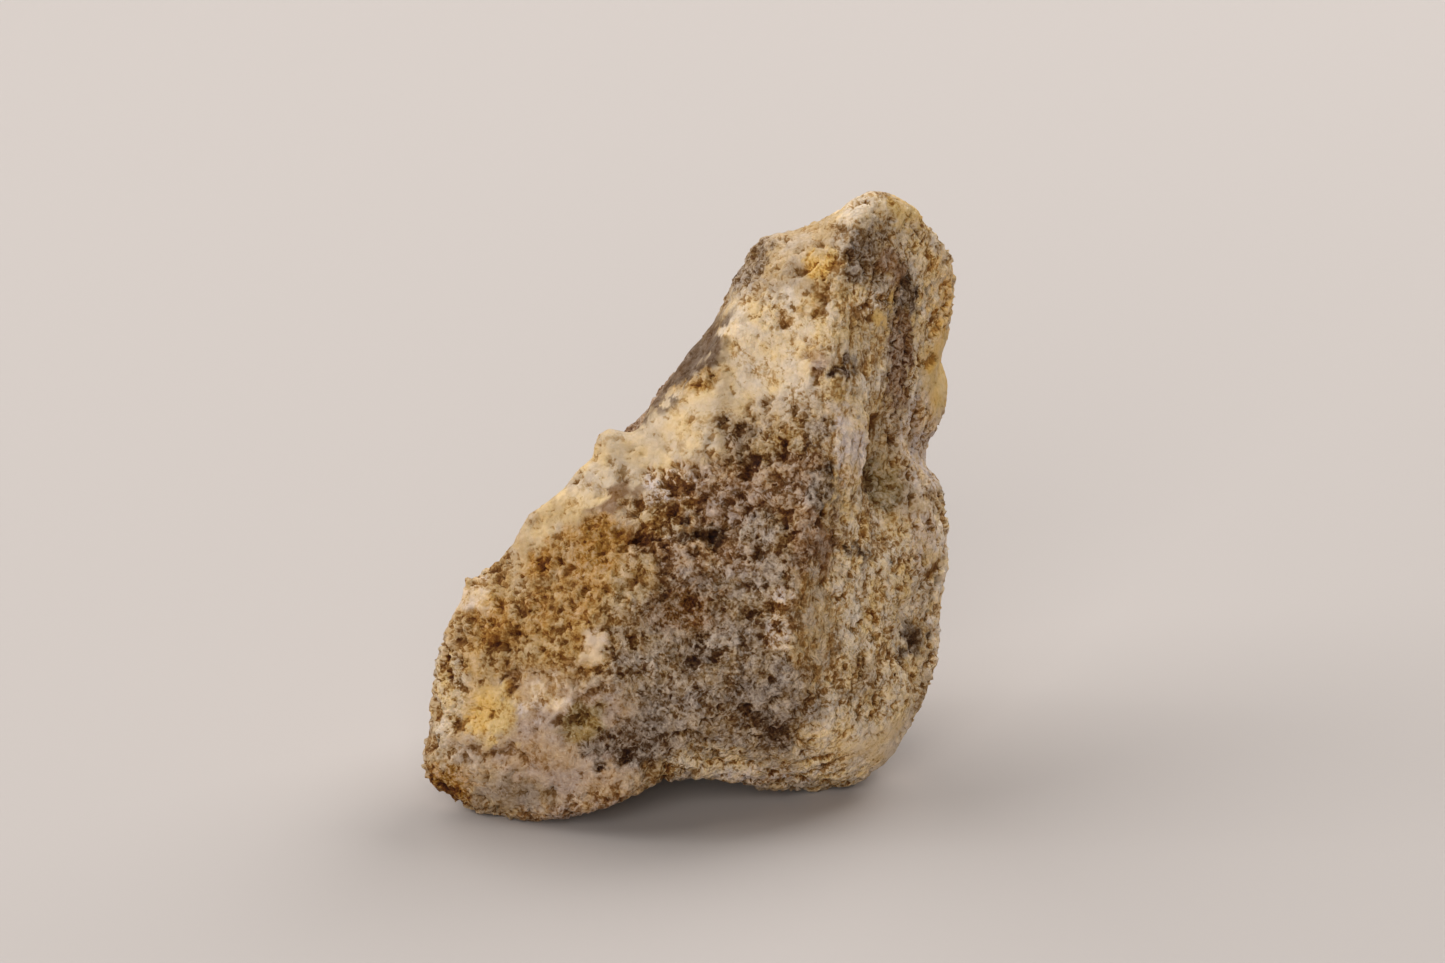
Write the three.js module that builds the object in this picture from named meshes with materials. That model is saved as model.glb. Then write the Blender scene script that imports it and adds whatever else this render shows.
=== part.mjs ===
// Orchid calcite: one broken lump of granular calcite, in millimetres, +Z up.
//
// The stone is a leaning wedge. Its broad side faces -Y and leans back; a ridge runs down that side
// from the peak, and right of the ridge a narrower face turns away round a groove. A long slope falls
// from the shoulder to the left end. The stone stands on small flats either side of a shallow arch.
//
// Landmarks on the surface are joined into flat breaks, a fine even mesh is laid over the breaks, and
// the mesh is rounded, given its hollows and uneven lumps, and rubbed flat where it stands.
// The origin is the centre of the stone's box, at the surface that it stands on.

import * as THREE from 'three';
import { ConvexHull } from 'three/addons/math/ConvexHull.js';
import { ImprovedNoise } from 'three/addons/math/ImprovedNoise.js';
import { mergeVertices } from 'three/addons/utils/BufferGeometryUtils.js';

// ---- Driving dimensions -------------------------------------------------------------------------

const BROAD_SIDE_LEAN = 20;            // degrees that the broad side leans back from upright
const HEART = [-1, 17, 20];            // a point well inside, from which every landmark can be seen
const MESH_DETAIL = 21;                // 20 * (detail + 1)^2 triangles
const EVENING_ROUNDS = 60;             // passes that space the mesh evenly over the breaks
const ROUNDING_ROUNDS = 3;             // passes that round the edges between the breaks
const ROUNDING_IN = 0.5;               // share of the way to the neighbours' mean on the way in
const ROUNDING_OUT = -0.52;            // and on the way out, so that the stone keeps its size
const LUMPS = [                        // width and height of the surface's uneven lumps
  { width: 8, height: 0.5 },
  { width: 3.6, height: 0.28 },
];

// ---- Landmarks ----------------------------------------------------------------------------------

// On the broad side and its edges: across to the right, up the lean, and back behind its face.
const BROAD_SIDE = {
  peak: [[14.3, 59.9, 3], [12, 58.5, 2], [16, 60.1, 3.5], [17.7, 58.8, 4.5]],
  shoulder: [[9.5, 57, 4], [6.5, 55.7, 5], [3.3, 55.6, 6], [1, 52.2, 8], [0.1, 48.9, 9.5]],
  slope_crest: [
    [4.5, 52, 2], [1.5, 47.7, 1.5], [-0.5, 45, 1.5], [-3, 41.4, 2], [-7.8, 38.1, 4], [-10.9, 37.7, 4],
  ],
  slope_steps: [
    [-11.8, 35.8, 3], [-13.5, 33.4, 3], [-16, 31.5, 3], [-18.2, 30, 3], [-18.5, 26.9, 3], [-21.2, 25.4, 3],
    [-19, 26.8, 7.5],
  ],
  left_end: [
    [-23.5, 25.4, 3], [-24.4, 21.5, 3], [-25.6, 18.4, 4], [-26.3, 14.8, 5], [-26.5, 11, 5], [-27.6, 6, 6],
  ],
  left_foot: [
    [-26.5, 4.5, 7], [-24.1, 3.3, 7.5], [-18, 2.4, 4], [-14.8, 2.4, 3], [-12.6, 2.6, 2.2], [-9.2, 4, 0.8],
  ],
  arch: [[-5.6, 6, 2.6], [-2, 6.3, 4.6], [1.5, 5.5, 6.2], [3.6, 5, 8]],
  right_foot: [
    [12.8, 5.3, 12], [15.8, 7.8, 12], [17.7, 11, 13], [18.9, 14, 14], [8.8, 6.7, 7], [13.6, 8.5, 8],
  ],
  right_edge: [
    [19.8, 16.6, 14], [20.2, 20.9, 15], [20.8, 24.3, 15], [21.1, 28, 15], [20.9, 30.4, 15], [19.4, 34, 15],
  ],
  slab: [[19.8, 37, 17], [20.9, 40.2, 18.5], [21, 44, 18.5], [21.2, 47.5, 17]],
  upper_right: [[22.3, 50.3, 15], [22.3, 52.8, 12.5], [21.5, 55, 10], [19.1, 57.2, 6.5]],
  turning_edge: [[18.2, 48, 9.5], [17.8, 43, 10.5], [17.6, 38.5, 11]],
  ridge: [
    [13, 57.6, 1], [11.4, 53.8, -0.5], [10.2, 46.6, -1.5], [10, 37.6, -2], [8.9, 31.4, -2.5],
    [7.2, 22.4, -2], [6.5, 14.3, -0.5], [6.3, 8.4, 3.5],
  ],
  lip: [[12.6, 39.5, 0.5], [12.8, 36.2, 0.5], [11.8, 32.4, 1.5]],
  broad_face: [
    [6, 49.3, 0.5], [4.3, 42, 0.5], [1.6, 34, 0], [-2.9, 34, 0.7], [-7.4, 30, 0.5], [-0.2, 24.2, -0.5],
    [-11, 22.4, -0.5], [-16.4, 22.4, 0.5], [-21.8, 18.8, 1.5], [-14.6, 15.2, 0], [-5.6, 15.2, -1],
    [1.5, 15.2, -1], [-21.8, 9.8, 2.5], [-14.6, 8, 1], [-5.6, 9.4, 0.5], [1.1, 8.9, 2], [-20, 5.2, 3.6],
    [-12.8, 5, 1.4], [-7.5, 6.2, 0.4],
  ],
  turning_face: [
    [14.4, 55.6, 3], [16.3, 51.5, 6], [13.5, 47.6, 2.5], [15, 42.5, 6], [18.2, 32.5, 10], [18, 27.7, 9],
    [14.4, 33, 7], [13.3, 23.2, 4.5], [17.2, 20, 9.5], [11.5, 17, 2.5], [16.1, 13, 8], [10.6, 10.6, 3.5],
  ],
};

// On the slope, the back, the left end and underneath: x, y and z, with y from the front foot.
const HIDDEN_SIDES = {
  slope: [
    [-1.5, 27.2, 38.8], [-4.7, 28, 35.3], [-6.6, 26, 33.7], [-8.3, 24.5, 30.8], [-11, 22, 29],
    [-15.5, 19, 24], [-21, 16, 20.3],
  ],
  slope_back_edge: [[2, 31, 42.5], [-4.5, 31.5, 34], [-10, 30, 28], [-17, 27, 21.5], [-23, 20, 18.5]],
  crown: [[15, 31, 47.5], [9, 31.5, 46.5], [4.5, 29.5, 47], [10, 26, 51.5]],
  back: [
    [17, 36, 37], [17.8, 35.5, 28], [14, 38, 21], [16, 33, 12], [12, 33, 4], [6, 36.5, 36], [5, 39, 25],
    [2, 37.5, 12], [0, 32.5, 3], [-6, 35.5, 27], [-8, 36, 17], [-10, 33.5, 7], [-14, 31.5, 22],
    [-18, 29, 14], [-19, 26.5, 5],
  ],
  left: [[-24.5, 19, 14], [-26, 15.5, 8], [-24, 15, 2.5]],
  underside: [
    [-18, 9, -1.1], [-20.5, 12, 0], [-14, 10.5, -0.6], [-15, 18, 0.9], [-6, 14, 3.6], [-2, 22, 2.6],
    [7.5, 14.5, -1], [11, 17, -0.8], [13, 23, 1], [-4, 28, -0.8], [1, 29, -0.6], [-9, 26, 0.3], [16, 20, 4],
  ],
};

// Hollows worn into the breaks, and ribs left standing (a depth below zero): each runs between two
// places given as on the broad side, and fades out over its width.
const HOLLOWS = {
  groove_beside_the_lip: { from: [14.6, 37.5, 5], to: [14.4, 28, 7], width: 3, depth: 0.9 },
  notch_above_the_slab: { from: [20.5, 44.9, 15], to: [22, 44.2, 19], width: 1.9, depth: 1.6 },
  notch_below_the_slab: { from: [18.5, 36.2, 12], to: [21, 35.2, 19], width: 3.1, depth: 1.9 },
  step_in_front_of_the_slab: { from: [18.6, 48, 11], to: [18.4, 38, 12.5], width: 2.2, depth: 1 },
  hollow_in_the_right_foot: { from: [17, 21, 9.5], to: [17.4, 17, 9.5], width: 3, depth: 1.1 },
  step_below_the_crest_bump: { from: [-11.5, 35.2, 3], to: [-13.5, 34.6, 8], width: 1.7, depth: 0.6 },
  notch_behind_the_crest_bump: { from: [-8.4, 38.2, 4], to: [-8.2, 38, 10], width: 1.9, depth: 0.8 },
  step_on_the_slope: { from: [-21.3, 25.6, 2], to: [-21.6, 25.4, 9], width: 2.2, depth: 1.1 },
  ledge_behind_the_crest: { from: [-7, 39.5, 8], to: [-1.5, 45, 6], width: 2.2, depth: 0.9 },
  scoop_on_the_slope: { from: [-12, 33.9, 14.3], to: [-19, 27, 11.4], width: 5, depth: 1 },
  scoop_on_the_back: { from: [-6, 40.5, 23.6], to: [-2, 25.8, 30], width: 9, depth: 2.2 },
  scoop_behind_the_peak: { from: [12, 52.6, 16], to: [9, 48, 20.8], width: 6, depth: 1.5 },
  rib_down_the_back: { from: [6, 45, 24], to: [8, 22.4, 32.3], width: 4, depth: -1.1 },
  break_at_the_left_back: { from: [-20, 24.3, 19.9], to: [-15, 18.1, 26.4], width: 6, depth: 1.6 },
  chip_at_the_right_back: { from: [17, 30.4, 25.1], to: [16, 22.9, 27.9], width: 5, depth: 1.4 },
};

// ---- From landmarks to flat breaks --------------------------------------------------------------

const heart = new THREE.Vector3(...HEART);
const lean = THREE.MathUtils.degToRad(BROAD_SIDE_LEAN);
const acrossAxis = new THREE.Vector3(1, 0, 0);

function fromBroadSide([across, up, back]) {
  return new THREE.Vector3(across, back, up).applyAxisAngle(acrossAxis, -lean);
}

const hollows = Object.values(HOLLOWS).map(({ from, to, width, depth }) => {
  const ends = [from, to].map((end) => fromBroadSide(end).sub(heart));
  return { line: new THREE.Line3(...ends), width, depth };
});

function landmarksFromHeart() {
  const broad = Object.values(BROAD_SIDE).flat().map(fromBroadSide);
  const hidden = Object.values(HIDDEN_SIDES).flat().map((place) => new THREE.Vector3(...place));
  return [...broad, ...hidden].map((place) => place.sub(heart));
}

// Neighbouring landmarks, seen from the heart, span the breaks: the hull of their directions.
function makeBreaks(landmarks) {
  const placeOf = new Map(landmarks.map((place) => [place.clone().normalize(), place]));
  const hull = new ConvexHull().setFromPoints([...placeOf.keys()]);
  return hull.faces.map((face) => {
    const a = placeOf.get(face.edge.tail().point);
    const b = placeOf.get(face.edge.head().point);
    const c = placeOf.get(face.edge.next.head().point);
    const normal = new THREE.Plane().setFromCoplanarPoints(a, b, c).normal;
    const sides = [
      new THREE.Vector3().crossVectors(a, b),
      new THREE.Vector3().crossVectors(b, c),
      new THREE.Vector3().crossVectors(c, a),
    ];
    return { normal, sides, distance: normal.dot(a) };
  });
}

function isCrossedBy(piece, direction) {
  return piece.sides.every((side) => side.dot(direction) >= 0);
}

// Slides a vertex along its ray from the heart until it lies on a break.
function layOnBreaks(vertex, breaks) {
  const piece = breaks.find((candidate) => isCrossedBy(candidate, vertex));
  if (piece) vertex.multiplyScalar(piece.distance / piece.normal.dot(vertex));
  return vertex;
}

// ---- The mesh over the breaks -------------------------------------------------------------------

function startingMesh() {
  const sphere = new THREE.IcosahedronGeometry(1, MESH_DETAIL);
  sphere.deleteAttribute('normal');
  sphere.deleteAttribute('uv');
  return mergeVertices(sphere);
}

function verticesOf(geometry) {
  const position = geometry.getAttribute('position');
  const vertexAt = (_, i) => new THREE.Vector3().fromBufferAttribute(position, i);
  return Array.from({ length: position.count }, vertexAt);
}

function neighboursOf(geometry, count) {
  const neighbours = Array.from({ length: count }, () => new Set());
  const corners = geometry.index.array;
  for (let i = 0; i < corners.length; i += 3) {
    for (let side = 0; side < 3; side++) {
      const from = corners[i + side];
      const to = corners[i + (side + 1) % 3];
      neighbours[from].add(to);
      neighbours[to].add(from);
    }
  }
  return neighbours.map((set) => [...set]);
}

function towardsNeighbours(vertices, neighbours, share) {
  return vertices.map((vertex, i) => {
    const mean = new THREE.Vector3();
    for (const j of neighbours[i]) mean.add(vertices[j]);
    mean.divideScalar(neighbours[i].length);
    return vertex.clone().lerp(mean, share);
  });
}

function lumpAt(place, noise) {
  return LUMPS.reduce((sum, { width, height }, i) => {
    const { x, y, z } = place.clone().divideScalar(width).addScalar(10 * i);
    return sum + height * noise.noise(x, y, z);
  }, 0);
}

function hollowAt(place) {
  const nearest = new THREE.Vector3();
  return hollows.reduce((sum, { line, width, depth }) => {
    const distance = line.closestPointToPoint(place, true, nearest).distanceTo(place);
    return sum + depth * (1 - THREE.MathUtils.smoothstep(distance, 0, width));
  }, 0);
}

function makeStone() {
  const breaks = makeBreaks(landmarksFromHeart());
  const geometry = startingMesh();
  let vertices = verticesOf(geometry).map((vertex) => layOnBreaks(vertex, breaks));
  const neighbours = neighboursOf(geometry, vertices.length);

  for (let round = 0; round < EVENING_ROUNDS; round++) {
    vertices = towardsNeighbours(vertices, neighbours, 1).map((vertex) => layOnBreaks(vertex, breaks));
  }
  for (let round = 0; round < ROUNDING_ROUNDS; round++) {
    vertices = towardsNeighbours(vertices, neighbours, ROUNDING_IN);
    vertices = towardsNeighbours(vertices, neighbours, ROUNDING_OUT);
  }

  const position = geometry.getAttribute('position');
  vertices.forEach((vertex, i) => position.setXYZ(i, vertex.x, vertex.y, vertex.z));
  geometry.computeVertexNormals();
  const normals = geometry.getAttribute('normal');
  const noise = new ImprovedNoise();
  vertices.forEach((vertex, i) => {
    const outward = new THREE.Vector3().fromBufferAttribute(normals, i);
    vertex.addScaledVector(outward, lumpAt(vertex, noise) - hollowAt(vertex)).add(heart);
    position.setXYZ(i, vertex.x, vertex.y, Math.max(vertex.z, 0));
  });
  geometry.deleteAttribute('normal');
  return geometry;
}

// ---- The part -----------------------------------------------------------------------------------

const calcite = new THREE.MeshStandardMaterial({ color: 0xb39468, roughness: 0.75, metalness: 0 });

const stone = new THREE.Mesh(makeStone(), calcite);
stone.name = 'calcite_stone';
stone.geometry.computeBoundingBox();
const middle = stone.geometry.boundingBox.getCenter(new THREE.Vector3());
stone.position.set(-middle.x, -middle.y, 0);

const part = new THREE.Group();
part.add(stone);

export default part;
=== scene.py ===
"""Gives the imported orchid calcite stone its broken, granular surface, and sets it out in a plain studio.

The stone's own shape comes from the CAD part. One piece is laid over it: a fine mesh of the same
shape, with the crystals, pits and streaks of the surface raised or cut into it, and a finish whose
colours follow the same crystals.

Places on the stone are given as on its leaning broad side, in millimetres: across to the right, up
the lean, and back behind the face, all from the front foot.
"""

import math
from collections import namedtuple

import bpy
from bpy.props import FloatProperty, FloatVectorProperty, PointerProperty
from bpy.types import Operator, Panel, PropertyGroup
from mathutils import Matrix, Vector


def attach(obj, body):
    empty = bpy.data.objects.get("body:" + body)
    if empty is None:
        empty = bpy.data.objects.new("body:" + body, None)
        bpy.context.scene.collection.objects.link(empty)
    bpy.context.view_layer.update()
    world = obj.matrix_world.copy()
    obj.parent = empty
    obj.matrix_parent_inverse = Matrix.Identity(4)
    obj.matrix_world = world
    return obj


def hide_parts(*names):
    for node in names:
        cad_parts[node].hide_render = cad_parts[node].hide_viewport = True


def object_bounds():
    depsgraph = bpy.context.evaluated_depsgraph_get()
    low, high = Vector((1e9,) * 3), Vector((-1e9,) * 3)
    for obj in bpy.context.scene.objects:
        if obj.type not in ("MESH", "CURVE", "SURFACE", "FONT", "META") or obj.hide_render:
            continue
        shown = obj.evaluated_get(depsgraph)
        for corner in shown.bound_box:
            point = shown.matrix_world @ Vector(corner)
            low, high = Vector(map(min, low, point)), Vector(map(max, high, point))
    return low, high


bl_info = {
    "name": "Orchid Calcite Stone",
    "version": (1, 0, 0),
    "blender": (4, 5, 0),
    "location": "View3D > Sidebar > Calcite",
    "description": "Builds the surface and finish of an orchid calcite stone, and its studio",
    "category": "Add Mesh",
}

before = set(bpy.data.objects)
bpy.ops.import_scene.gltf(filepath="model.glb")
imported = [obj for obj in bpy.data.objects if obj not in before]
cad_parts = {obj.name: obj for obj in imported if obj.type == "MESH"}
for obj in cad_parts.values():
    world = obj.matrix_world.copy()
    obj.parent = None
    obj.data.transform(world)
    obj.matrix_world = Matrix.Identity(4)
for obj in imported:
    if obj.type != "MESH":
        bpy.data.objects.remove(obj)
CAD_BOX = [list(corner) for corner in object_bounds()]

STONE_NODE = "calcite_stone"
STONE_PIECE = "calcite_stone_surface"
PLACE_LAYER = "stone_place"
TEXTURE_LAYER = "stone_texture"
COLOUR_LAYER = "stone_colour"
MARK_LAYER = "stone_mark"

MM = 0.001
FRONT_FOOT = (2.927, -21.168, 0.0)     # where the broad side's measures start, in mm
BROAD_SIDE_LEAN = math.radians(20)

# The camera looks square on to the broad side.
CAMERA_DISTANCE = 614.03               # in front of the broad side, in mm
CAMERA_UP = 33.03                      # up the broad side from the front foot, in mm
SENSOR_WIDTH = 36                      # in mm


def from_srgb(red, green, blue):
    """A screen colour, 0 to 255, as the linear colour that shaders use."""
    return tuple((channel / 255) ** 2.2 for channel in (red, green, blue))


# ---- The stone's colours, textures and areas ------------------------------------------------------

# Mean colour of the calcite where it takes each look.
COLOURS = {
    "ivory": (234, 206, 168),
    "cream": (220, 192, 152),
    "butter": (228, 188, 128),
    "sand": (202, 174, 134),
    "lilac": (212, 186, 160),
    "straw": (214, 174, 104),
    "tan": (182, 154, 118),
    "mauve": (170, 140, 112),
    "biscuit": (186, 148, 92),
    "honey": (176, 132, 70),
    "amber": (166, 120, 52),
    "khaki": (170, 138, 92),
    "olive": (150, 124, 80),
    "smoke": (140, 116, 90),
    "russet": (136, 100, 66),
    "charcoal": (112, 90, 68),
    "walnut": (122, 84, 40),
    "cocoa": (96, 70, 44),
}

# Share of missing crystals, strength of the fine grain, and how far crystals are drawn into streaks.
TEXTURES = {
    "smooth": (0.01, 0.28, 0.0),
    "sugary": (0.06, 0.50, 0.0),
    "crumbly": (0.26, 0.70, 0.0),
    "pitted": (0.40, 0.90, 0.0),
    "peppery": (0.16, 1.30, 0.1),
    "streaky": (0.22, 1.10, 0.7),
    "worn": (0.19, 1.10, 0.3),
}

Area = namedtuple("Area", "name colour texture centre reach turn")

# Each area is a soft-edged ellipsoid, with its centre and its reach as (across, up, back) in mm and
# a turn in degrees, anticlockwise. Later ones lie over earlier ones.
AREAS = [
    Area("smoky middle", "smoke", "peppery", (0, 17, 0), (11, 13, 10), -20),
    Area("russet beside the ridge", "russet", "peppery", (8, 26, 0), (2, 11, 8), 0),
    Area("mauve centre", "mauve", "pitted", (-1, 31, 0), (9, 6, 9), 25),
    Area("biscuit left end", "biscuit", "crumbly", (-16, 22, 2), (9, 7, 10), 35),
    Area("sand crest", "sand", "smooth", (-3, 41, 2), (14, 4.8, 9), 48),
    Area("tan crest end", "tan", "smooth", (-14, 29.5, 2), (7, 3, 9), 45),
    Area("cream upper face", "cream", "sugary", (5, 46, 1), (5, 6, 9), 0),
    Area("tan upper face", "tan", "sugary", (6, 53, 2), (5.5, 3.6, 8), 20),
    Area("mauve left foot", "mauve", "sugary", (-15, 10, 2), (8.5, 6, 9), -15),
    Area("sand beside the ridge", "sand", "streaky", (12.5, 40, 2), (3.6, 17, 8), 0),
    Area("turning face", "cream", "worn", (13, 20, 6), (6.5, 11, 11), 0),
    Area("upper right face", "cream", "worn", (17, 49, 9), (4, 10, 9), 0),
    Area("tan upper right face", "tan", "peppery", (14.6, 49, 5), (2.6, 7.5, 7), 0),
    Area("lilac below the slab", "lilac", "worn", (18.4, 36.4, 14), (2.4, 4.4, 9), 0),
    Area("pale right edge", "ivory", "worn", (20.6, 18, 15), (1.6, 5, 9), 0),
    Area("pale right foot", "cream", "worn", (13, 9, 8), (7, 4, 11), 20),
    # The top, the shoulder and the upper face.
    Area("pale apex", "cream", "sugary", (12.5, 58, 3), (3, 1.6, 8), 10),
    Area("straw beside the apex", "straw", "sugary", (17, 57.5, 4), (1.6, 1.4, 8), -30),
    Area("smoky shoulder", "smoke", "peppery", (2.2, 53, 6), (2, 3, 8), -25),
    Area("straw spots", "straw", "crumbly", (8.8, 52.4, 1), (1.7, 1.7, 8), 20),
    Area("cream below the shoulder", "cream", "crumbly", (4.6, 48.2, 1), (1.8, 1.5, 8), 40),
    Area("biscuit spot", "biscuit", "crumbly", (8, 48.4, 1), (0.9, 0.8, 8), 0),
    Area("mauve spots on the upper face", "mauve", "crumbly", (8.5, 43.6, 0), (1.2, 1.8, 8), 0),
    Area("dark upper ridge", "smoke", "peppery", (12.6, 53, 3), (1.7, 3.4, 6), 0),
    Area("brown ridge patch", "cocoa", "peppery", (10.8, 43.9, 0), (0.7, 1.2, 6), 0),
    # The crest.
    Area("brown behind the crest", "cocoa", "smooth", (-3.4, 43.4, 6), (6.6, 1.6, 7), 48),
    Area("biscuit on the crest", "biscuit", "crumbly", (-2.4, 41.4, 2), (2.2, 0.9, 9), 40),
    Area("cream crest", "cream", "smooth", (-4, 38, 1), (3.8, 2.3, 9), 35),
    Area("pale crest bump", "sand", "smooth", (-8, 35.6, 2), (3.6, 1.8, 9), 40),
    Area("cream crest end", "cream", "smooth", (-12, 32.6, 2), (3, 1.7, 9), 40),
    Area("walnut crease", "walnut", "smooth", (-9.6, 31.4, 1), (2.4, 0.9, 9), 25),
    Area("sand crest tip", "sand", "smooth", (-15.4, 29, 2), (2, 1.6, 9), 45),
    Area("honey under the crest end", "honey", "crumbly", (-15.6, 26.6, 2), (3.2, 1.5, 8), 45),
    Area("smoke below the crest", "smoke", "pitted", (2.4, 36.8, 0), (2.8, 2.2, 8), 0),
    # The centre.
    Area("lilac crystals", "lilac", "pitted", (-4.6, 32.6, 0), (2.4, 2, 8), 30),
    Area("amber under the crest", "amber", "crumbly", (-11.2, 27.6, 0), (2.6, 2, 8), 45),
    Area("amber below the crest end", "amber", "crumbly", (-12.4, 25.2, 0), (2.4, 1.2, 8), 10),
    Area("mauve pits of the centre", "mauve", "pitted", (1, 32, 0), (1.8, 3.6, 8), 20),
    Area("sand beside the centre", "sand", "pitted", (-5.4, 29.8, 0), (2.6, 1.3, 8), 20),
    Area("slit of the centre", "walnut", "pitted", (0.8, 29.4, 0), (0.9, 1.9, 8), 30),
    Area("khaki by the ridge", "khaki", "peppery", (5.6, 36.4, 0), (2.8, 1.3, 8), 0),
    Area("smoke beside the centre", "smoke", "peppery", (4, 28.8, 0), (2.4, 2, 8), 30),
    Area("dark by the ridge", "charcoal", "peppery", (8.7, 32.2, -1), (1.3, 2.2, 6), 0),
    Area("smoke on the ridge", "smoke", "peppery", (8.6, 37.4, -1), (1.4, 1.8, 6), 0),
    Area("dark lower ridge", "russet", "streaky", (9, 27, -1), (1.4, 2.4, 6), 0),
    Area("dark under the centre", "charcoal", "pitted", (-2, 28.4, 0), (2.6, 1.1, 8), 10),
    # The smoky middle.
    Area("khaki crust", "khaki", "crumbly", (-7.4, 24.2, 0), (2.4, 1.6, 8), 0),
    Area("dark middle", "walnut", "peppery", (-3.4, 21.6, 0), (3.2, 2.2, 8), 10),
    Area("pale middle", "smoke", "peppery", (1, 24.2, 0), (0.9, 0.8, 8), -20),
    Area("pale patch of the middle", "lilac", "peppery", (5.2, 21, 0), (1.6, 2.8, 8), 0),
    Area("dark beside the arch", "charcoal", "peppery", (2.8, 14.6, 0), (1.7, 1.2, 8), 0),
    Area("dark below the middle", "charcoal", "peppery", (-2.6, 17.4, 0), (2.6, 1.4, 8), 0),
    Area("dark hollow", "cocoa", "peppery", (-7.4, 9.8, 0), (2.8, 2, 8), 35),
    Area("dark foot of the step", "cocoa", "peppery", (-11.4, 9.4, 0), (2.2, 1.5, 8), 30),
    Area("dark above the hollow", "charcoal", "peppery", (-6.4, 12.8, 0), (2, 2, 8), 0),
    Area("dark right of the arch", "cocoa", "peppery", (4.8, 10.6, 0), (1.5, 2, 8), 0),
    Area("streaks above the right foot", "tan", "streaky", (8, 20.5, 1), (2.2, 5, 7), 10),
    Area("sand over the arch", "sand", "peppery", (-1, 7.4, 1), (5, 1.4, 8), 0),
    Area("pale rim of the arch", "lilac", "peppery", (5, 6.2, 2), (5.5, 0.9, 8), 0),
    # The left end and the left foot.
    Area("honey left end", "honey", "crumbly", (-20.6, 19.8, 2), (3.4, 1.8, 8), 15),
    Area("honey middle", "honey", "crumbly", (-14, 22.6, 1), (3.4, 2, 8), 20),
    Area("lilac at the left end", "lilac", "sugary", (-22.4, 22.6, 2), (1.8, 1.3, 8), 50),
    Area("lower left end", "biscuit", "crumbly", (-21.6, 16.6, 2), (2.4, 1.4, 8), 0),
    Area("sand left rim", "sand", "peppery", (-25, 13.6, 4), (1.6, 4.4, 8), 0),
    Area("yellow glow", "straw", "sugary", (-20.6, 12, 2), (2.4, 3, 8), 10),
    Area("brown slit", "walnut", "crumbly", (-19.2, 14.8, 2), (0.5, 1.8, 8), 0),
    Area("lilac patch", "lilac", "smooth", (-11.5, 18.2, 0), (1.1, 1.4, 8), -15),
    Area("lilac left foot", "lilac", "sugary", (-16, 13.6, 1), (2, 1.6, 8), 10),
    Area("olive step", "olive", "crumbly", (-12.6, 11.4, 0), (2.4, 1.9, 8), 40),
    Area("amber bottom left", "amber", "peppery", (-24.4, 5.8, 5), (2.6, 1.8, 8), -10),
    Area("smoky bottom left", "smoke", "sugary", (-19, 5, 3), (3.4, 1.6, 8), 0),
    Area("mauve rim of the left foot", "mauve", "worn", (-13, 3, 5), (6, 2, 8), 10),
    # Right of the ridge. Some dark areas here carry painted shade, where the right face turns away from
    # the light.
    Area("lilac ridge", "lilac", "streaky", (10.8, 37.8, 0), (1.5, 3, 6), 0),
    Area("cream ridge", "cream", "streaky", (13.6, 43, 3), (1.3, 5, 6), 0),
    Area("fibres by the lip", "lilac", "streaky", (11.9, 35.6, 0), (0.9, 3, 6), -10),
    # Partly the stone's darker colour and partly painted shade, where the upper right face turns from the
    # light.
    Area("dark upper right", "charcoal", "peppery", (16.6, 50, 8), (1.3, 2.6, 8), -10),
    # Partly the stone's darker colour and partly painted shade on the right side of the ridge's top.
    Area("dark top of the ridge", "russet", "worn", (15.4, 52.2, 6), (1.3, 1.8, 8), 0),
    Area("pale beside the flake", "ivory", "worn", (12.4, 49.2, 2), (1.5, 1.4, 7), 0),
    # Partly the stone's darker colour and partly painted shade in the valley between the ridge and the
    # slab.
    Area("dark beside the slab", "russet", "peppery", (16, 44, 9), (1.1, 5, 8), 0),
    Area("straw flake", "straw", "smooth", (14.6, 48.4, 4), (0.7, 0.9, 6), 0),
    Area("pale upper rim", "butter", "worn", (20.4, 50, 12), (1.3, 4, 9), 0),
    Area("straw slab", "straw", "smooth", (20, 43, 18), (2, 4.5, 8), 0),
    Area("olive groove", "olive", "worn", (14.8, 33, 6), (1.7, 2.2, 7), 0),
    Area("dark below the groove", "charcoal", "worn", (12.6, 27, 4), (1, 1.3, 7), 0),
    Area("pale turning face", "cream", "worn", (13.6, 28.2, 5), (1.8, 1.1, 8), 0),
    Area("lilac bulge", "lilac", "worn", (18, 28, 12), (2, 2.6, 8), 0),
    Area("pale bulge rim", "ivory", "worn", (20.6, 26, 15), (1, 5, 8), 0),
    # Partly the stone's darker colour and partly painted shade in the hollow of the right face.
    Area("dark right hollow", "charcoal", "worn", (17.4, 18.6, 11), (1.2, 1.6, 8), 0),
    # Painted shade: a tan laid over the cream turning face above the right foot, where it turns from the
    # light.
    Area("brown above the foot", "tan", "worn", (12.8, 15, 5), (1.6, 2.6, 8), 0),
    Area("cream foot", "cream", "smooth", (14, 9.4, 10), (3.4, 2.2, 9), 25),
]

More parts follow.
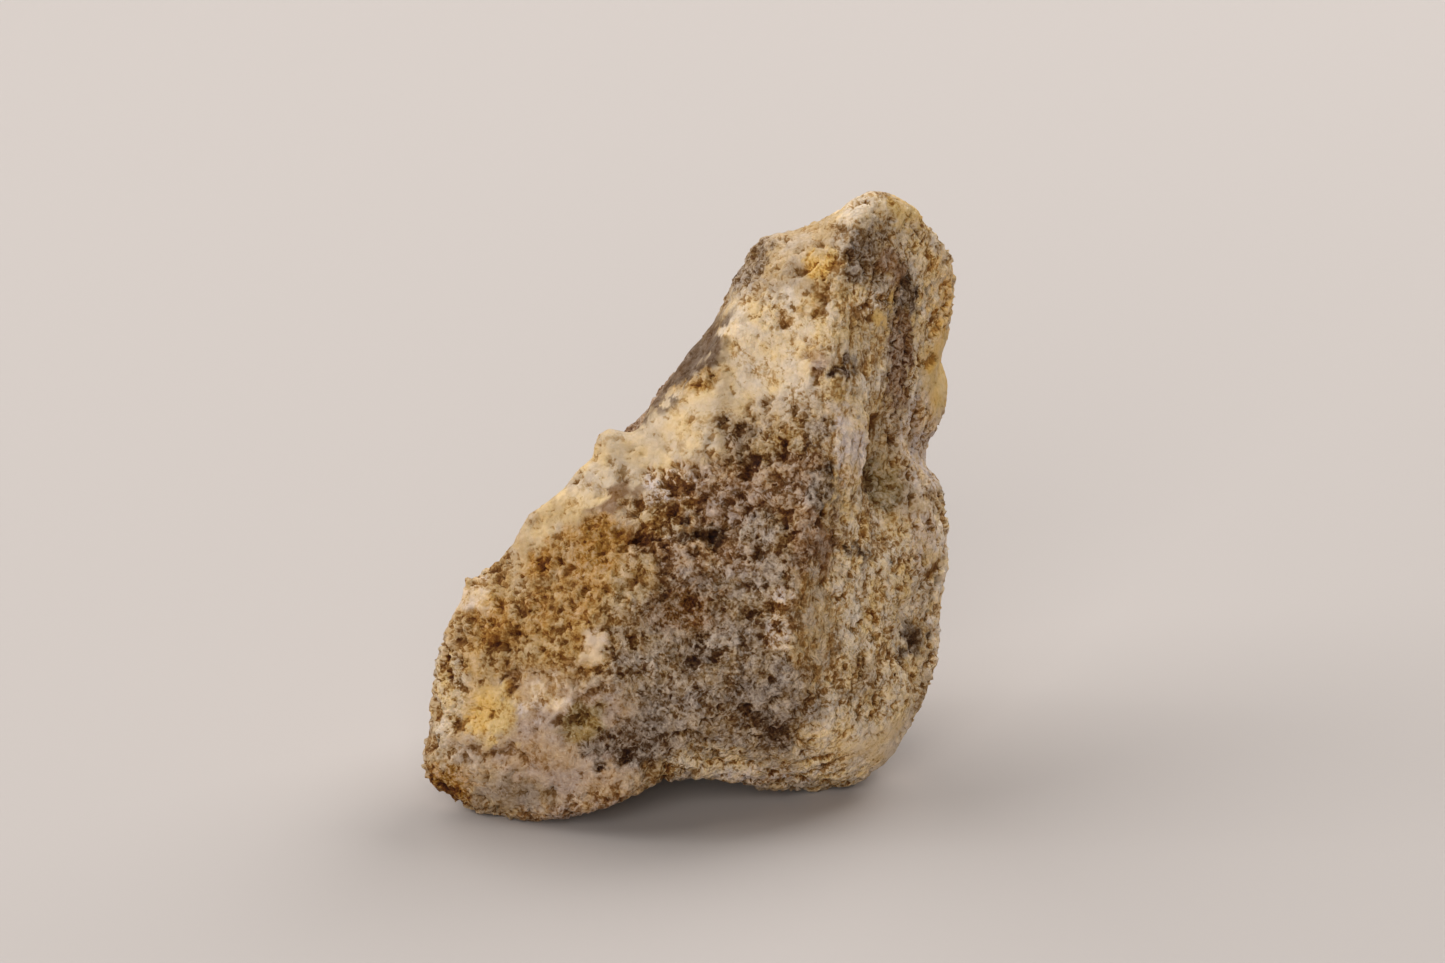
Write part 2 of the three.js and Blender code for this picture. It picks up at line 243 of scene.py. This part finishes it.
# The slope behind the crest, the back and the underside, which the areas above lie over.
HIDDEN_AREAS = [
    Area("mauve back", "mauve", "crumbly", (-8, 22, 26), (12, 12, 12), 0),
    Area("sand back", "sand", "sugary", (10, 36, 28), (10, 12, 12), 0),
    Area("brown slope", "russet", "peppery", (-6, 38, 14), (12, 12, 7), 45),
    Area("smoky back", "smoke", "peppery", (6, 14, 30), (12, 9, 12), 0),
    Area("biscuit patch of the back", "biscuit", "crumbly", (-12, 20, 24), (6, 3, 8), 30),
    Area("butter vein of the back", "butter", "sugary", (2, 30, 28), (9, 1.6, 10), 40),
    Area("cream patch of the back", "cream", "sugary", (14, 22, 26), (4, 5, 6), 0),
    Area("russet patch of the back", "russet", "pitted", (6, 44, 20), (4, 4, 5), 0),
    Area("dark patch of the back", "charcoal", "peppery", (-2, 10, 34), (4, 3, 6), 0),
    Area("amber edge of the slope", "amber", "crumbly", (-1, 36, 20), (7, 1.8, 6), 45),
    Area("cream underside", "cream", "worn", (-6, 3, 16), (8, 4, 8), 0),
    Area("smoky underside", "smoke", "peppery", (6, 0, 22), (6, 4, 8), 0),
]

Mark = namedtuple("Mark", "name start end width shade depth")

# Single pits, crystals, veins and cracks, each along a line from start to end, in mm. A shade below
# zero is darker and one above zero paler, and a depth below zero stands proud.
MARKS = [
    Mark("pit below the crease", (-9, 28.2, 0), (-7, 27.9, 0), 0.7, -1.1, 0.4),
    Mark("pit above the centre", (-5.3, 33.5, 0), (-4.9, 33.3, 0), 0.45, -1.0, 0.4),
    Mark("pit by the crystals", (-2.5, 34.4, 0), (-2.1, 33.7, 0), 0.4, -0.9, 0.3),
    Mark("pit in the crystals", (-4.9, 30.8, 0), (-4.1, 30.5, 0), 0.45, -1.0, 0.3),
    Mark("long slit", (-7.3, 29, 0), (-5.7, 29.6, 0), 0.22, -0.9, 0.2),
    Mark("steep slit", (-5.4, 27.8, 0), (-4.7, 26.5, 0), 0.28, -1.0, 0.3),
    Mark("pit under the centre", (-3.6, 28.6, 0), (-1.2, 28.2, 0), 0.45, -0.7, 0.3),
    Mark("big pit of the left end", (-21.6, 19.3, 2), (-20.6, 18.6, 2), 0.65, -1.0, 0.4),
    Mark("small pit of the left end", (-23.5, 18.8, 2), (-22.8, 18.4, 2), 0.35, -0.9, 0.3),
    Mark("slit of the left end", (-19.6, 16.6, 2), (-19.1, 13.8, 2), 0.4, -0.8, 0.3),
    Mark("pit by the glow", (-19, 15.6, 2), (-18.6, 14.8, 2), 0.5, -0.6, 0.3),
    Mark("speck beside the glow", (-22.4, 9, 3), (-22, 8.6, 3), 0.4, -1.1, 0.3),
    Mark("speck above the foot", (-21.3, 8.2, 3), (-20.8, 8.6, 3), 0.35, -1.0, 0.3),
    Mark("crystal on the left rim", (-24.6, 18.6, 4), (-24, 17.9, 4), 0.45, 0.7, -0.2),
    Mark("crystal above the big pit", (-21.6, 21.5, 2), (-20.9, 20.6, 2), 0.4, 0.7, -0.2),
    Mark("white vein", (-25.2, 9.6, 5), (-24.3, 7.9, 5), 0.25, 1.0, -0.15),
    Mark("edge of the step", (-16.1, 11.1, 1), (-13.3, 14.3, 0), 0.25, 0.8, -0.25),
    Mark("edge end of the step", (-13.3, 14.3, 0), (-10.3, 15.5, 0), 0.35, 0.9, -0.25),
    Mark("shade under the step", (-12.9, 13.4, 0), (-10.6, 14.7, 0), 0.35, -0.9, 0.3),
    Mark("white streak", (-9.1, 25.2, 0), (-8.7, 23.2, 0), 0.4, 0.9, -0.15),
    Mark("crack in the straw spots", (8.1, 50.8, 0), (8.7, 49.5, 0), 0.3, -1.1, 0.3),
    Mark("lip beside the groove", (12.9, 38.9, 1), (13, 36.6, 1), 0.28, 0.8, -0.2),
    Mark("lower lip", (13, 36.6, 1), (12, 32.4, 2), 0.28, 0.8, -0.2),
    Mark("shade beside the lip", (13.8, 38.6, 3), (13.2, 32.6, 4), 0.6, -0.8, 0.4),
    Mark("second line", (10, 32.3, -1), (11.7, 37.9, 0), 0.2, 0.8, -0.1),
    Mark("flake", (14.5, 48.7, 4), (14.7, 48, 4), 0.45, 0.4, -0.15),
    Mark("pit beside the ridge", (9.4, 30.4, -1), (10, 29.4, -1), 0.4, -1.0, 0.3),
    Mark("long pit beside the ridge", (10.2, 28, -1), (10.4, 26, -1), 0.35, -0.9, 0.3),
    Mark("dark line by the foot", (8.6, 16.4, 1), (8.9, 11.6, 1), 0.3, -0.6, 0.2),
    Mark("pale spot by the foot", (3, 9.4, 0), (3.7, 8.4, 0), 0.35, 0.3, 0),
]

# An area or a mark fades from the outer share of its reach or width to the inner one.
AREA_EDGE = (1.3, 0.7)
MARK_EDGE = (1.4, 0.6)
FACEWISE = Vector((1, 0.2, 1))         # how far a mark's distance counts across, back and up

# How far each further pattern is shifted, in mm, so that no two patterns of a kind lie together.
SHIFTS = {
    "small gaps": 11.0,
    "large gaps": 47.0,
    "small edges": 23.0,
    "grain": 31.0,
    "fine grain": 57.0,
    "clouds": 5.0,
    "warm patches": 71.0,
    "warm crystals": 41.0,
    "white crystals": 83.0,
}


# ---- Arithmetic on sockets ------------------------------------------------------------------------


class Field:
    """A number, vector or colour that varies over the stone: a node's output, ready for arithmetic."""

    def __init__(self, tree, socket):
        self.tree = tree
        self.socket = socket

    def _with(self, operation, first, second):
        sides = (first, second)
        is_vector = any(isinstance(side, Field) and side.socket.type != "VALUE" for side in sides)
        kind = "ShaderNodeVectorMath" if is_vector else "ShaderNodeMath"
        if is_vector:
            sides = [(side,) * 3 if isinstance(side, (int, float)) else side for side in sides]
        return add_node(self.tree, kind, {"operation": operation}, dict(enumerate(sides)))

    def __add__(self, other):
        return self._with("ADD", self, other)

    def __radd__(self, other):
        return self._with("ADD", other, self)

    def __sub__(self, other):
        return self._with("SUBTRACT", self, other)

    def __rsub__(self, other):
        return self._with("SUBTRACT", other, self)

    def __mul__(self, other):
        return self._with("MULTIPLY", self, other)

    def __rmul__(self, other):
        return self._with("MULTIPLY", other, self)

    def __truediv__(self, other):
        return self._with("DIVIDE", self, other)


def add_node(tree, kind, settings, inputs, output=0):
    """Adds a node, makes its settings first and then fills its sockets with values or links."""
    node = tree.nodes.new(kind)
    for name, value in settings.items():
        setattr(node, name, value)
    for name, value in inputs.items():
        if isinstance(value, Field):
            tree.links.new(value.socket, node.inputs[name])
        else:
            node.inputs[name].default_value = value
    return Field(tree, node.outputs[output])


def maths(operation, value, *others):
    """One of the operations on numbers that have no sign of their own in Python."""
    sides = dict(enumerate((value, *others)))
    return add_node(value.tree, "ShaderNodeMath", {"operation": operation}, sides)


def ramp(value, start, end, low=0.0, high=1.0):
    """Smoothly from low to high as the value goes from start to end."""
    limits = {"Value": value, "From Min": start, "From Max": end, "To Min": low, "To Max": high}
    return add_node(value.tree, "ShaderNodeMapRange", {"interpolation_type": "SMOOTHSTEP"}, limits)


def clamped(value):
    """The value kept between 0 and 1."""
    return add_node(value.tree, "ShaderNodeClamp", {}, {"Value": value})


def mixed(share, first, second):
    """The first vector or colour where the share is 0, the second where it is 1."""
    tree = next(side.tree for side in (share, first, second) if isinstance(side, Field))
    inputs = {"Factor": share, 4: first, 5: second}
    return add_node(tree, "ShaderNodeMix", {"data_type": "VECTOR"}, inputs, output=1)


def mixed_value(share, first, second):
    """The first value where the share is 0, the second where it is 1."""
    return first + (second - first) * share


def vector_of(across, back, up):
    """A vector or colour from its three parts."""
    fields = [part for part in (across, back, up) if isinstance(part, Field)]
    inputs = {"X": across, "Y": back, "Z": up}
    return add_node(fields[0].tree, "ShaderNodeCombineXYZ", {}, inputs)


def part_of(vector, output):
    """One of a vector's three parts, by its number."""
    return add_node(vector.tree, "ShaderNodeSeparateXYZ", {}, {"Vector": vector}, output=output)


def turned(vector, axis, angle):
    inputs = {"Vector": vector, "Angle": angle}
    return add_node(vector.tree, "ShaderNodeVectorRotate", {"rotation_type": axis}, inputs)


def length_of(vector):
    return add_node(vector.tree, "ShaderNodeVectorMath", {"operation": "LENGTH"}, {0: vector}, output=1)


def noise(place, width, detail=2.0, output=0):
    """Soft noise, 0 to 1 and 0.5 on average, whose lumps are about as wide as said."""
    inputs = {"Vector": place, "Scale": 1 / width, "Detail": detail, "Roughness": 0.55}
    return add_node(place.tree, "ShaderNodeTexNoise", {}, inputs, output=output)


def wandered(place, width, reach):
    """The place shifted about by soft noise, so that what is drawn there has an uneven outline."""
    return place + (noise(place, width, output=1) - 0.5) * (2 * reach)


# ---- Patterns that the relief and the finish share ------------------------------------------------


def crystals(place, width):
    """Crystals about as wide as said: each one's own random vector, and its middle."""
    inputs = {"Vector": place, "Scale": 1 / width}
    own = add_node(place.tree, "ShaderNodeTexVoronoi", {"feature": "F1"}, inputs, output=1)
    return own, Field(place.tree, own.socket.node.outputs["Position"])


def facets(place, width):
    """Height of each crystal's own tilted face above its middle."""
    tilt, middle = crystals(place, width)
    sides = {0: tilt - 0.5, 1: place - middle}
    return add_node(place.tree, "ShaderNodeVectorMath", {"operation": "DOT_PRODUCT"}, sides, output=1)


def hollows(place, width, missing):
    """1 in the uneven gaps that missing crystals leave, 0 on the surface, by the share missing."""
    own, _ = crystals(place, 0.6 * width)
    level = noise(place, width, 3.0) + (part_of(own, 0) - 0.5) * 0.16
    return ramp(level - missing * 0.36, 0.36, 0.3)


def gaps_of(place, width, missing):
    """The gaps that middling, small and large missing crystals leave."""
    return (
        hollows(place, width, missing),
        hollows(place + SHIFTS["small gaps"], 0.5 * width, missing),
        hollows(place + SHIFTS["large gaps"], 2.2 * width, missing * 0.7),
    )


def spot(across, up, back):
    """A place on the stone as the vector that patterns use: across, back and up."""
    return Vector((across, back, up))


def cover_of(area, place):
    """1 well inside an area, 0 outside it, with a soft edge between."""
    offset = place - tuple(spot(*area.centre))
    if area.turn:
        offset = turned(offset, "Y_AXIS", math.radians(area.turn))
    return ramp(length_of(offset / tuple(spot(*area.reach))), *AREA_EDGE)


def surface_looks(place, colours):
    """The stone's colour at a place, and its texture as a vector of a texture's three measures."""
    crystal, _ = crystals(crystal_place(place), 1.1)
    scattered = wandered(place, 3.0, 1.5) + (crystal - 0.5) * 1.5
    colour = tuple(colours.tan)
    texture = TEXTURES["crumbly"]
    for area in HIDDEN_AREAS + AREAS:
        cover = cover_of(area, scattered)
        colour = mixed(cover, colour, tuple(getattr(colours, area.colour)))
        texture = mixed(cover, texture, TEXTURES[area.texture])
    return colour, texture


def cover_of_mark(mark, place):
    """1 on a mark's line and 0 away from it, measured mostly along the broad side."""
    start, end = (spot(*point) * FACEWISE for point in (mark.start, mark.end))
    along = end - start
    facing = place * tuple(FACEWISE)
    inputs = {0: facing - tuple(start), 1: tuple(along / along.length_squared)}
    passed = add_node(place.tree, "ShaderNodeVectorMath", {"operation": "DOT_PRODUCT"}, inputs, output=1)
    nearest = mixed(clamped(passed), tuple(start), tuple(end))
    return ramp(length_of(facing - nearest), *(share * mark.width for share in MARK_EDGE))


def crystal_place(place):
    """The place with its small wanderings, from which every crystal pattern is drawn."""
    return wandered(wandered(place, 0.9, 0.22), 0.3, 0.06)


def streak_place(place):
    """The same, drawn out up the lean, for streaks."""
    return crystal_place(place) * (1.0, 1.0, 0.2)


# ---- The stone ------------------------------------------------------------------------------------


def place_from_position(position):
    """Turns a position in the part's frame into a place on the broad side, in mm."""
    from_foot = position * (1 / MM) - FRONT_FOOT
    return turned(from_foot, "X_AXIS", BROAD_SIDE_LEAN)


def position_from_place(across, up, back):
    """The other way: a place on the broad side as a position in the part's frame, in metres."""
    from_foot = Matrix.Rotation(-BROAD_SIDE_LEAN, 3, "X") @ spot(across, up, back)
    return (from_foot + Vector(FRONT_FOOT)) * MM


def relief_height(place, texture, cut, sizes):
    """How far the surface stands above the CAD shape, in mm."""
    near = crystal_place(place)
    drawn = streak_place(place)
    width = sizes.crystal_width / MM
    missing, grain, streaks = (part_of(texture, output) for output in range(3))
    middling, small, large = gaps_of(near, width, missing)
    gaps = middling + small * 0.4 + large * 0.8
    grooves = hollows(drawn, width, missing + 0.2)
    lumps = 0.55 * (noise(place, 2.6, detail=4.0) - 0.5)
    broken = (facets(near, 0.9 * width) + facets(near, 0.5 * width) * 0.8) * (grain * 0.25 + missing)
    ribs = facets(drawn, 0.7 * width) * 0.7
    pitted = broken - gaps * (sizes.pit_depth / MM)
    grooved = ribs - grooves * (0.6 * sizes.pit_depth / MM)
    return lumps + mixed_value(streaks, pitted, grooved) - cut


def make_relief(sizes, colours):
    """A node group that notes every place's look on the stone and raises its relief there."""
    tree = bpy.data.node_groups.new("stone relief", "GeometryNodeTree")
    tree.interface.new_socket("Geometry", in_out="INPUT", socket_type="NodeSocketGeometry")
    tree.interface.new_socket("Geometry", in_out="OUTPUT", socket_type="NodeSocketGeometry")
    stone = Field(tree, tree.nodes.new("NodeGroupInput").outputs[0])
    position = add_node(tree, "GeometryNodeInputPosition", {}, {})
    normal = add_node(tree, "GeometryNodeInputNormal", {}, {})

    place = place_from_position(position)
    colour, texture = surface_looks(place, colours)
    uneven = wandered(wandered(place, 0.8, 0.25), 0.3, 0.15)
    covers = [(mark, cover_of_mark(mark, uneven)) for mark in MARKS]
    shade = sum(cover * mark.shade for mark, cover in covers)
    cut = sum(cover * mark.depth for mark, cover in covers)

    for layer, kind, value in (
        (PLACE_LAYER, "FLOAT_VECTOR", place),
        (TEXTURE_LAYER, "FLOAT_VECTOR", texture),
        (COLOUR_LAYER, "FLOAT_VECTOR", colour),
        (MARK_LAYER, "FLOAT", shade),
    ):
        settings = {"data_type": kind, "domain": "POINT"}
        inputs = {"Geometry": stone, "Name": layer, "Value": value}
        stone = add_node(tree, "GeometryNodeStoreNamedAttribute", settings, inputs)

    raised = position + normal * (relief_height(place, texture, cut, sizes) * MM)
    lowest = (CAD_BOX[0][0], CAD_BOX[0][1], 0.0)
    resting = add_node(tree, "ShaderNodeVectorMath", {"operation": "MAXIMUM"}, {0: raised, 1: lowest})
    stone = add_node(tree, "GeometryNodeSetPosition", {}, {"Geometry": stone, "Position": resting})
    tree.links.new(stone.socket, tree.nodes.new("NodeGroupOutput").inputs[0])
    return tree


def add_modifier(piece, name, kind, **settings):
    """Adds a modifier with its settings, after those that the piece already has."""
    modifier = piece.modifiers.new(name, kind)
    for key, value in settings.items():
        setattr(modifier, key, value)


def make_stone_surface(sizes, colours):
    """A fine mesh over the CAD stone's shape, with its relief."""
    rough = bpy.data.objects.new("rough stone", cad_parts[STONE_NODE].data.copy())
    bpy.context.scene.collection.objects.link(rough)
    rough.data.materials.clear()
    add_modifier(rough, "joined", "WELD", merge_threshold=0.00001)
    add_modifier(rough, "rounded", "SUBSURF", levels=2, render_levels=2)
    add_modifier(rough, "even", "REMESH", mode="VOXEL", voxel_size=sizes.mesh_width)
    add_modifier(rough, "softened", "SMOOTH", factor=0.5, iterations=3)
    add_modifier(rough, "relief", "NODES", node_group=make_relief(sizes, colours))
    bpy.context.view_layer.update()
    finished = rough.evaluated_get(bpy.context.evaluated_depsgraph_get())
    mesh = bpy.data.meshes.new_from_object(finished)
    mesh.name = STONE_PIECE
    mesh.shade_smooth()
    bpy.data.objects.remove(rough)
    piece = bpy.data.objects.new(STONE_PIECE, mesh)
    bpy.context.scene.collection.objects.link(piece)
    return piece


def blotches(place, width, detail=2.0):
    """Soft blotches about as wide as said, from -0.5 where dark to 0.5 where pale."""
    return ramp(noise(place, width, detail), 0.34, 0.66) - 0.5


def filaments(place, width):
    """1 along thin bright edges that wander between crystals."""
    return ramp(maths("ABSOLUTE", noise(place, width, 2.0) - 0.5), 0.045, 0.0)


def fibres(place, width):
    """-1 to 1 across the fine fibres that each crystal carries in its own direction."""
    wave = facets(place, width) * 36 / width + noise(place, 0.4 * width) * 9
    return maths("SINE", wave)


def speckled(near, width, gaps, fine, fibrous, grain):
    """How pale or dark the stone is, crystal by crystal, where crystals lie every way."""
    middling, small, large = gaps
    own, _ = crystals(near, 0.8 * width)
    fine_own, _ = crystals(near, 0.25 * width)
    edges = filaments(near, width) + filaments(near + SHIFTS["small edges"], 0.5 * width)
    each_crystal = (part_of(own, 1) - 0.5) * 0.5 + 0.15
    in_gaps = (middling * 1.1 + small * 0.8) * (grain * 0.8 + 0.4) + large * 0.7 * grain
    blotchy = blotches(near + SHIFTS["grain"], 0.6 * width) * 0.9 + fine * 0.9 + fibrous * 0.28
    each_grain = (part_of(fine_own, 1) - 0.5) * 0.6 + edges * 0.55
    return each_crystal - in_gaps + (blotchy + each_grain) * grain


def streaked(drawn, width, fine, missing):
    """How pale or dark the stone is where crystals are drawn into streaks."""
    own, _ = crystals(drawn, 0.24 * width)
    blotchy = blotches(drawn + SHIFTS["grain"], 0.5 * width) * 1.1 + fine * 0.7
    edges = filaments(drawn, 0.8 * width) * 0.5
    return part_of(own, 1) - 0.5 + blotchy + edges - hollows(drawn, width, missing + 0.2)


def stained(base, tone, warmth, white, lightest):
    """The base colour made rustier by its warmth, browner where dark and whiter where pale."""
    warmed = base * vector_of(*(warmth * share + 1.0 for share in (0.10, 0.0, -0.34)))
    dark = maths("MINIMUM", tone, 0.0)
    stain = vector_of(*(maths("EXPONENT", dark * share) for share in (0.72, 1.08, 1.75)))
    pale = clamped(white + tone * 0.5) * 0.85
    return mixed(pale, warmed * stain, mixed(0.5, warmed * 1.6, lightest))


def make_finish(sizes, colours):
    """The calcite: its areas' colours, lighter where crystals stand proud and deeper in the pits."""
    material = bpy.data.materials.new("granular calcite")
    material.use_nodes = True
    tree = material.node_tree
    tree.nodes.clear()

    place, texture, base = (
        add_node(tree, "ShaderNodeAttribute", {"attribute_name": layer}, {}, output=1)
        for layer in (PLACE_LAYER, TEXTURE_LAYER, COLOUR_LAYER)
    )
    mark = add_node(tree, "ShaderNodeAttribute", {"attribute_name": MARK_LAYER}, {}, output=2)
    missing, grain, streaks = (part_of(texture, output) for output in range(3))
    near = crystal_place(place)
    drawn = streak_place(place)
    width = sizes.crystal_width / MM

    gaps = gaps_of(near, width, missing)
    fine = blotches(near + SHIFTS["fine grain"], 0.25 * width, 1.0)
    fibrous = fibres(near, 0.9 * width)
    clouds = (noise(place, 2.4, 5.0) - 0.5) * (grain * 1.4 + 1.4)
    clouds = clouds + blotches(place + SHIFTS["clouds"], 3.4) * (grain * 0.6)
    specks = speckled(near, width, gaps, fine, fibrous, grain)
    lines = streaked(drawn, width, fine, missing)
    tone = clouds + mixed_value(streaks, specks, lines) + mark

    warmth = blotches(place + SHIFTS["warm patches"], 3.0)
    warmth = warmth + blotches(near + SHIFTS["warm crystals"], 0.6 * width) * grain * 0.7
    white = ramp(noise(near + SHIFTS["white crystals"], 1.1 * width, 3.0), 0.56, 0.68)
    white = white * grain * (1 - gaps[0]) * 0.4
    height = (facets(near, 0.45 * width) * 0.9 + fibrous * 0.03 + fine * 0.08) * grain
    bump_inputs = {"Strength": 0.8, "Distance": MM, "Height": height}
    shader = add_node(tree, "ShaderNodeBsdfPrincipled", {}, {
        "Base Color": stained(base, tone, warmth, white, tuple(colours.lavender_white)),
        "Roughness": ramp(tone, -1.0, 1.0, 0.75, 0.5),
        "Normal": add_node(tree, "ShaderNodeBump", {}, bump_inputs),
        "IOR": 1.5,
        "Specular IOR Level": 0.2,
        "Subsurface Weight": 0.12,
        "Subsurface Radius": (1.0, 0.72, 0.42),
        "Subsurface Scale": 0.6 * MM,
    })
    output = tree.nodes.new("ShaderNodeOutputMaterial")
    tree.links.new(shader.socket, output.inputs["Surface"])
    return material


# ---- Settings -------------------------------------------------------------------------------------


class StoneSizes(PropertyGroup):
    """Sizes of the stone's surface."""

    mesh_width: FloatProperty(
        name="Mesh width",
        description="Width of one face of the fine mesh",
        default=0.31 * MM,
        unit="LENGTH",
    )
    crystal_width: FloatProperty(
        name="Crystal width",
        description="Width of the largest crystals, and of the pits that missing ones leave",
        default=1.35 * MM,
        unit="LENGTH",
    )
    pit_depth: FloatProperty(
        name="Pit depth",
        description="Depth of the pits that missing crystals leave",
        default=0.42 * MM,
        unit="LENGTH",
    )


def colour_property(name, shade):
    """A setting for one of the stone's colours."""
    return FloatVectorProperty(
        name=name.capitalize(),
        description=f"Colour of the calcite where it is {name}",
        default=from_srgb(*shade),
        subtype="COLOR",
        min=0,
        max=1,
    )


class StoneColours(PropertyGroup):
    """Colours of the calcite."""

    ivory: colour_property("ivory", COLOURS["ivory"])
    cream: colour_property("cream", COLOURS["cream"])
    butter: colour_property("butter", COLOURS["butter"])
    sand: colour_property("sand", COLOURS["sand"])
    lilac: colour_property("lilac", COLOURS["lilac"])
    straw: colour_property("straw", COLOURS["straw"])
    tan: colour_property("tan", COLOURS["tan"])
    mauve: colour_property("mauve", COLOURS["mauve"])
    biscuit: colour_property("biscuit", COLOURS["biscuit"])
    honey: colour_property("honey", COLOURS["honey"])
    amber: colour_property("amber", COLOURS["amber"])
    khaki: colour_property("khaki", COLOURS["khaki"])
    olive: colour_property("olive", COLOURS["olive"])
    smoke: colour_property("smoke", COLOURS["smoke"])
    russet: colour_property("russet", COLOURS["russet"])
    charcoal: colour_property("charcoal", COLOURS["charcoal"])
    walnut: colour_property("walnut", COLOURS["walnut"])
    cocoa: colour_property("cocoa", COLOURS["cocoa"])
    lavender_white: colour_property("lavender white", (224, 206, 188))


class StudioSettings(PropertyGroup):
    """The floor, the lights and the camera."""

    floor_colour: FloatVectorProperty(
        name="Floor colour",
        description="Colour of the plain floor",
        default=from_srgb(185, 176, 170),
        subtype="COLOR",
        min=0,
        max=1,
    )
    floor_width: FloatProperty(
        name="Floor width",
        description="Width of the square floor",
        default=6.0,
        unit="LENGTH",
    )
    camera_place: FloatVectorProperty(
        name="Camera place",
        description="Where the camera stands",
        default=position_from_place(0, CAMERA_UP, -CAMERA_DISTANCE),
        subtype="TRANSLATION",
    )
    camera_tilt: FloatProperty(
        name="Camera tilt",
        description="Angle of the camera from straight down",
        default=math.pi / 2 - BROAD_SIDE_LEAN,
        subtype="ANGLE",
    )
    lens: FloatProperty(
        name="Lens",
        description="Focal length of the lens, in millimetres",
        default=170.66,
    )
    back_power: FloatProperty(
        name="Back light",
        description="Power of the soft light high behind the stone, to the left",
        default=4.3,
        unit="POWER",
    )
    right_power: FloatProperty(
        name="Right light",
        description="Power of the soft light high behind the stone, to the right",
        default=5.6,
        unit="POWER",
    )
    left_power: FloatProperty(
        name="Left light",
        description="Power of the soft light to the left of the stone",
        default=2.8,
        unit="POWER",
    )
    front_power: FloatProperty(
        name="Front light",
        description="Power of the low soft light in front of the stone",
        default=4.1,
        unit="POWER",
    )
    room_light: FloatProperty(
        name="Room light",
        description="Strength of the even light from all round",
        default=0.01,
    )


# ---- The stone and the stage ----------------------------------------------------------------------


class CALCITE_OT_stone(Operator):
    """Lay the stone's granular surface over its CAD shape"""

    bl_idname = "calcite.stone"
    bl_label = "Calcite Stone"

    def execute(self, context):
        sizes = context.scene.calcite_sizes
        colours = context.scene.calcite_colours
        piece = make_stone_surface(sizes, colours)
        piece.data.materials.append(make_finish(sizes, colours))
        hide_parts(STONE_NODE)
        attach(piece, "root")
        return {"FINISHED"}


Light = namedtuple("Light", "name power width place aim")

# The soft lights: each one's power setting, its width, where it hangs and the point that it shines on.
LIGHTS = [
    Light("back light", "back_power", 0.8, (-0.38, 0.36, 0.62), (0, 0.02, 0)),
    Light("right light", "right_power", 0.6, (0.4, 0.45, 0.6), (0, 0, 0)),
    Light("left light", "left_power", 0.5, (-0.7, -0.1, 0.5), (0, 0, 0.02)),
    Light("front light", "front_power", 0.5, (-0.1, -0.8, 0.4), (0, 0, 0.02)),
]


def add_light(light, power):
    """A square soft light at its place, turned to its aim."""
    lamp = bpy.data.lights.new(light.name, "AREA")
    lamp.energy = power
    lamp.size = light.width
    piece = bpy.data.objects.new(light.name, lamp)
    piece.location = light.place
    to_aim = Vector(light.aim) - Vector(light.place)
    piece.rotation_euler = to_aim.to_track_quat("-Z", "Y").to_euler()
    bpy.context.scene.collection.objects.link(piece)


class CALCITE_OT_studio(Operator):
    """Set out the plain floor, the soft lights and the camera"""

    bl_idname = "calcite.studio"
    bl_label = "Studio"

    def execute(self, context):
        settings = context.scene.calcite_studio
        bpy.ops.mesh.primitive_plane_add(size=settings.floor_width, location=(0, 0, 0))
        floor = context.object
        floor.name = "studio_floor"
        finish = bpy.data.materials.new("plain floor")
        finish.use_nodes = True
        shader = finish.node_tree.nodes["Principled BSDF"]
        shader.inputs["Base Color"].default_value = (*settings.floor_colour, 1)
        shader.inputs["Roughness"].default_value = 0.9
        floor.data.materials.append(finish)

        world = bpy.data.worlds.new("studio room")
        world.use_nodes = True
        background = world.node_tree.nodes["Background"]
        background.inputs["Color"].default_value = (1.0, 0.98, 0.96, 1)
        background.inputs["Strength"].default_value = settings.room_light
        context.scene.world = world
        for light in LIGHTS:
            add_light(light, getattr(settings, light.power))

        lens = bpy.data.cameras.new("camera")
        lens.lens = settings.lens
        lens.sensor_width = SENSOR_WIDTH
        camera = bpy.data.objects.new("camera", lens)
        camera.location = settings.camera_place
        camera.rotation_euler = (settings.camera_tilt, 0, 0)
        context.scene.collection.objects.link(camera)
        context.scene.camera = camera
        context.scene.view_settings.view_transform = "Standard"
        return {"FINISHED"}


class CALCITE_PT_panel(Panel):
    """Lists the stone and its studio in the 3D view's sidebar"""

    bl_idname = "CALCITE_PT_panel"
    bl_label = "Orchid Calcite"
    bl_space_type = "VIEW_3D"
    bl_region_type = "UI"
    bl_category = "Calcite"

    def draw(self, context):
        for operator in (CALCITE_OT_stone, CALCITE_OT_studio):
            self.layout.operator(operator.bl_idname)
        for name in ("calcite_sizes", "calcite_colours", "calcite_studio"):
            group = getattr(context.scene, name)
            box = self.layout.box()
            for setting in group.bl_rna.properties:
                if setting.identifier not in {"rna_type", "name"}:
                    box.prop(group, setting.identifier)


CLASSES = (
    StoneSizes,
    StoneColours,
    StudioSettings,
    CALCITE_OT_stone,
    CALCITE_OT_studio,
    CALCITE_PT_panel,
)


def register():
    for each in CLASSES:
        bpy.utils.register_class(each)
    bpy.types.Scene.calcite_sizes = PointerProperty(type=StoneSizes)
    bpy.types.Scene.calcite_colours = PointerProperty(type=StoneColours)
    bpy.types.Scene.calcite_studio = PointerProperty(type=StudioSettings)


def unregister():
    del bpy.types.Scene.calcite_studio
    del bpy.types.Scene.calcite_colours
    del bpy.types.Scene.calcite_sizes
    for each in reversed(CLASSES):
        bpy.utils.unregister_class(each)


def main():
    register()
    bpy.ops.calcite.stone()
    bpy.ops.calcite.studio()


if __name__ == "__main__":
    main()
